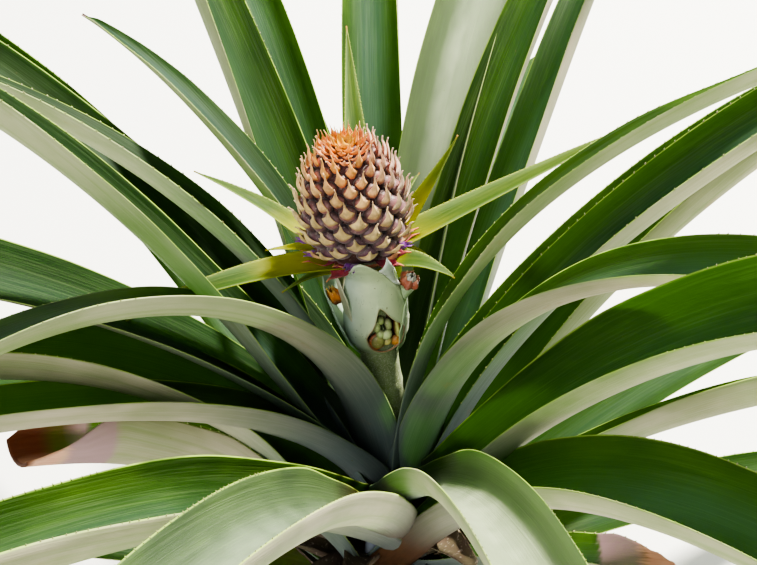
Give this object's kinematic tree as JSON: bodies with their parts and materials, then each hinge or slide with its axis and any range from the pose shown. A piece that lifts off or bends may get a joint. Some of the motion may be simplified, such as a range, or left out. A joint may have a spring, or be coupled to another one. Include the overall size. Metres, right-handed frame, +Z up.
{
  "type": "fruiting pineapple plant",
  "caption": "Rooted pineapple plant: short stem, rosette of long channelled spiny leaves, and a leaning stalk with a young fruit and its bracts.",
  "frame": {"origin": "middle of the stem's flat cut at ground level", "axes": "+Z up along the stem, -Y towards the viewer of the picture, +X to the viewer's right"},
  "size_m": [1.4833, 1.5377, 0.779],
  "materials": {
    "stem": "fibrous short stem, dry and dull",
    "stalk": "pale green stalk with a waxy bloom",
    "fruit": "young fruit of mauve-brown eyes with tan pointed bracts",
    "bract": "thin pale yellow-green bract with fine spines",
    "leaf": "dark green blade with a silvery underside and a yellow-green margin"
  },
  "bodies": {
    "root": {"bract_back_left": "bract", "bract_back_thin": "bract", "bract_left_long": "bract", "bract_left_upper": "bract", "bract_low_back": "bract", "bract_right_long": "bract", "bract_right_low": "bract", "bract_right_upper": "bract", "bract_sheath": "bract", "fruit": "fruit", "fruit_stalk": "stalk", "leaf_back_behind": "leaf", "leaf_back_broad": "leaf", "leaf_back_left_far": "leaf", "leaf_back_left_low": "leaf", "leaf_back_left_mid": "leaf", "leaf_back_left_short": "leaf", "leaf_back_left_top": "leaf", "leaf_back_middle": "leaf", "leaf_back_middle_far": "leaf", "leaf_back_right_far": "leaf", "leaf_back_right_tall": "leaf", "leaf_back_white": "leaf", "leaf_front_left": "leaf", "leaf_front_right": "leaf", "leaf_left_arch_falling": "leaf", "leaf_left_arch_rising": "leaf", "leaf_left_dark": "leaf", "leaf_left_front": "leaf", "leaf_left_level": "leaf", "leaf_left_torn": "leaf", "leaf_left_under": "leaf", "leaf_low_back": "leaf", "leaf_low_back_left": "leaf", "leaf_low_back_right": "leaf", "leaf_low_front": "leaf", "leaf_low_front_left": "leaf", "leaf_low_left": "leaf", "leaf_low_left_back": "leaf", "leaf_low_right": "leaf", "leaf_low_right_back": "leaf", "leaf_low_right_front": "leaf", "leaf_right_arch_falling": "leaf", "leaf_right_arch_rising": "leaf", "leaf_right_broad": "leaf", "leaf_right_front": "leaf", "leaf_right_level": "leaf", "leaf_right_steep": "leaf", "leaf_right_steep_far": "leaf", "leaf_right_steep_low": "leaf", "leaf_right_thin": "leaf", "leaf_right_torn": "leaf", "stem": "stem"}
  },
  "joints": []
}
